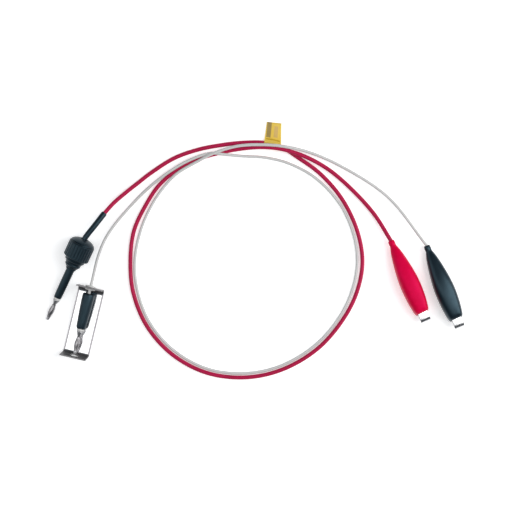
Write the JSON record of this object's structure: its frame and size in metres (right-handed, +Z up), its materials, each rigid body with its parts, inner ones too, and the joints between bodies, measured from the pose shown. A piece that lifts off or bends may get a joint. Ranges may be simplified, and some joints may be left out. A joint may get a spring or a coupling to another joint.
{
  "type": "high-voltage test lead set",
  "caption": "Two test leads in one loose loop: a screw-locked plug and a plug in a sheet-metal bracket, each leading to an insulated alligator clip.",
  "frame": {"origin": "middle of the box around the plugs and clips, on the surface that the leads lie on", "axes": "+Z up from that surface, +X from the plugs towards the clips, +Y towards the top of the loop, where the leads cross"},
  "size_m": [0.4245, 0.2627, 0.0286],
  "materials": {
    "black_plastic": "satin moulded",
    "black_vinyl": "glossy soft vinyl",
    "red_vinyl": "glossy soft vinyl",
    "red_lead": "smooth extruded insulation",
    "white_lead": "smooth extruded insulation",
    "white_plastic": "moulded",
    "nickel": "bright nickel plate",
    "bright_steel": "bright plated sheet",
    "spring_steel": "drawn wire",
    "copper": "tinned strands",
    "yellow_label": "laminated film"
  },
  "bodies": {
    "root": {"hv_plug_body": "black_plastic", "hv_retaining_ring": "black_plastic", "hv_pin_insulator": "white_plastic", "hv_pin": "nickel", "hv_pin_spring": "spring_steel", "hv_conductor": "copper", "hv_cable_sleeve": "black_vinyl", "hv_lead_tail": "red_lead", "hv_lead": "red_lead", "flag_label": "yellow_label", "hv_clip_boot": "red_vinyl", "hv_clip_lower_jaw": "nickel", "hv_clip_rivet": "nickel", "hv_clip_spring": "spring_steel", "hv_clip_screw": "bright_steel", "hv_clip_lead_tail": "red_lead", "hv_clip_conductor": "copper", "return_plug_handle": "black_plastic", "return_pin_insulator": "white_plastic", "return_pin": "nickel", "return_pin_spring": "spring_steel", "return_lead_tail": "white_lead", "return_conductor": "copper", "return_lead": "white_lead", "return_clip_boot": "black_vinyl", "return_clip_lower_jaw": "nickel", "return_clip_rivet": "nickel", "return_clip_spring": "spring_steel", "return_clip_screw": "bright_steel", "return_clip_lead_tail": "white_lead", "return_clip_conductor": "copper"},
    "lock_ring": {"hv_lock_ring": "black_plastic", "hv_lock_ring_cap": "black_plastic"},
    "grommet": {"return_grommet": "white_plastic"},
    "bracket": {"return_bracket": "bright_steel"},
    "hv_jaw": {"hv_clip_upper_jaw": "nickel", "hv_clip_boot_top": "red_vinyl"},
    "return_jaw": {"return_clip_upper_jaw": "nickel", "return_clip_boot_top": "black_vinyl"}
  },
  "joints": [
    {"name": "lock_ring_spin", "type": "hinge", "parent": "root", "child": "lock_ring", "pos_m": [-0.1701, 0.0467, 0.0165], "axis": [-0.4358, -0.8856, -0.1607], "continuous": true},
    {"name": "bracket_slide", "type": "slide", "parent": "root", "child": "grommet", "axis": [0.2334, 0.9724, 0], "range_m": [0, 0.015]},
    {"name": "bracket_swivel", "type": "hinge", "parent": "grommet", "child": "bracket", "pos_m": [-0.1664, -0.0082, 0.0105], "axis": [-0.2334, -0.9724, 0], "continuous": true},
    {"name": "hv_jaw_hinge", "type": "hinge", "parent": "root", "child": "hv_jaw", "pos_m": [0.16174, -0.00731, 0.0093], "axis": [-0.9178, -0.3971, 0], "range_deg": [0, 17], "stiffness_Nm_per_rad": 0.1, "springref_deg": -60.16},
    {"name": "return_jaw_hinge", "type": "hinge", "parent": "root", "child": "return_jaw", "pos_m": [0.19657, -0.01312, 0.0093], "axis": [-0.9285, -0.3714, 0], "range_deg": [0, 17], "stiffness_Nm_per_rad": 0.1, "springref_deg": -60.16}
  ]
}
